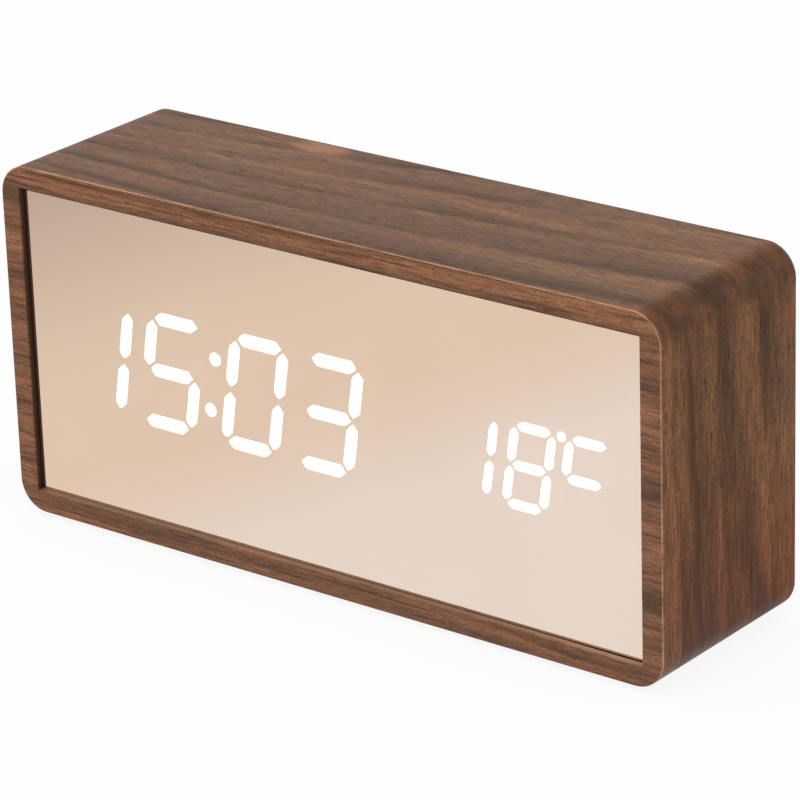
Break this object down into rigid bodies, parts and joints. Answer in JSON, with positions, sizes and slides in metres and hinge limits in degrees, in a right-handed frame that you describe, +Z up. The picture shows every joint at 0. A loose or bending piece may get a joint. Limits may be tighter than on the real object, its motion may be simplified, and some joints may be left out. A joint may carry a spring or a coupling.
{
  "type": "alarm clock",
  "caption": "Box-shaped digital alarm clock: rounded veneered wooden case, mirrored front with lit time and temperature digits, buttons and battery door at the back.",
  "frame": {"origin": "centre of the footprint, on the plane of the pads' undersides", "axes": "+X to the right seen from the front, +Y to the back, +Z up"},
  "size_m": [0.15, 0.042, 0.071],
  "materials": {
    "fibreboard": "painted dark brown fibreboard",
    "walnut_veneer": "satin walnut veneer",
    "pad_rubber": "matte rubber",
    "rose_mirror": "rose-gold half mirror",
    "black_plastic": "moulded black plastic",
    "tape_foam": "adhesive foam tape",
    "lit_lens": "milky lens, lit",
    "dark_lens": "milky lens, unlit",
    "led_resin": "LED chip",
    "board": "circuit board",
    "chip": "chip package",
    "steel": "nickel-plated steel",
    "capacitor": "aluminium can",
    "plug": "nylon plug",
    "ribbon": "flat ribbon cable",
    "switch_pin": "switch plunger",
    "button_plastic": "moulded button",
    "bead": "resin bead",
    "cell_jacket": "plain printed cell jacket",
    "lead_red": "insulated lead",
    "lead_black": "insulated lead"
  },
  "bodies": {
    "case": {"case_sleeve": "fibreboard", "wrap_veneer": "walnut_veneer", "front_veneer": "walnut_veneer", "rear_veneer": "walnut_veneer", "foot_pads": "pad_rubber", "mirror_panel": "rose_mirror", "panel_tape": "tape_foam", "inner_frame": "black_plastic", "led_reflector": "black_plastic", "time_lenses_lit": "lit_lens", "time_lenses_dark": "dark_lens", "colon_lenses": "lit_lens", "temp_lenses_lit": "lit_lens", "temp_lenses_dark": "dark_lens", "led_chips": "led_resin", "display_board": "board", "board_screws": "steel", "controller_chip": "chip", "driver_chip": "chip", "clock_chip": "chip", "clock_crystal": "steel", "capacitors": "capacitor", "ribbon_plugs": "plug", "ribbon_cable": "ribbon", "key_board": "board", "key_board_screws": "steel", "switch_bodies": "chip", "socket_shell": "steel", "socket_tongue": "black_plastic", "buzzer": "chip", "thermistor": "bead", "rear_cover": "black_plastic", "cover_screws": "steel", "battery_plates": "steel", "battery_springs": "steel", "aaa_cells": "cell_jacket", "positive_lead": "lead_red", "negative_lead": "lead_black"},
    "battery_door": {"battery_door": "black_plastic"},
    "set_button": {"set_button": "button_plastic", "set_plunger": "switch_pin"},
    "up_button": {"up_button": "button_plastic", "up_plunger": "switch_pin"},
    "down_button": {"down_button": "button_plastic", "down_plunger": "switch_pin"}
  },
  "joints": [
    {"name": "battery_door_hinge", "type": "hinge", "parent": "case", "child": "battery_door", "pos_m": [0, 0.02, 0.008], "axis": [-1, 0, 0], "range_deg": [0, 80]},
    {"name": "set_button_press", "type": "slide", "parent": "case", "child": "set_button", "axis": [0, -1, 0], "range_m": [0, 0.0005], "stiffness_N_per_m": 3000},
    {"name": "up_button_press", "type": "slide", "parent": "case", "child": "up_button", "axis": [0, -1, 0], "range_m": [0, 0.0005], "stiffness_N_per_m": 3000},
    {"name": "down_button_press", "type": "slide", "parent": "case", "child": "down_button", "axis": [0, -1, 0], "range_m": [0, 0.0005], "stiffness_N_per_m": 3000}
  ]
}
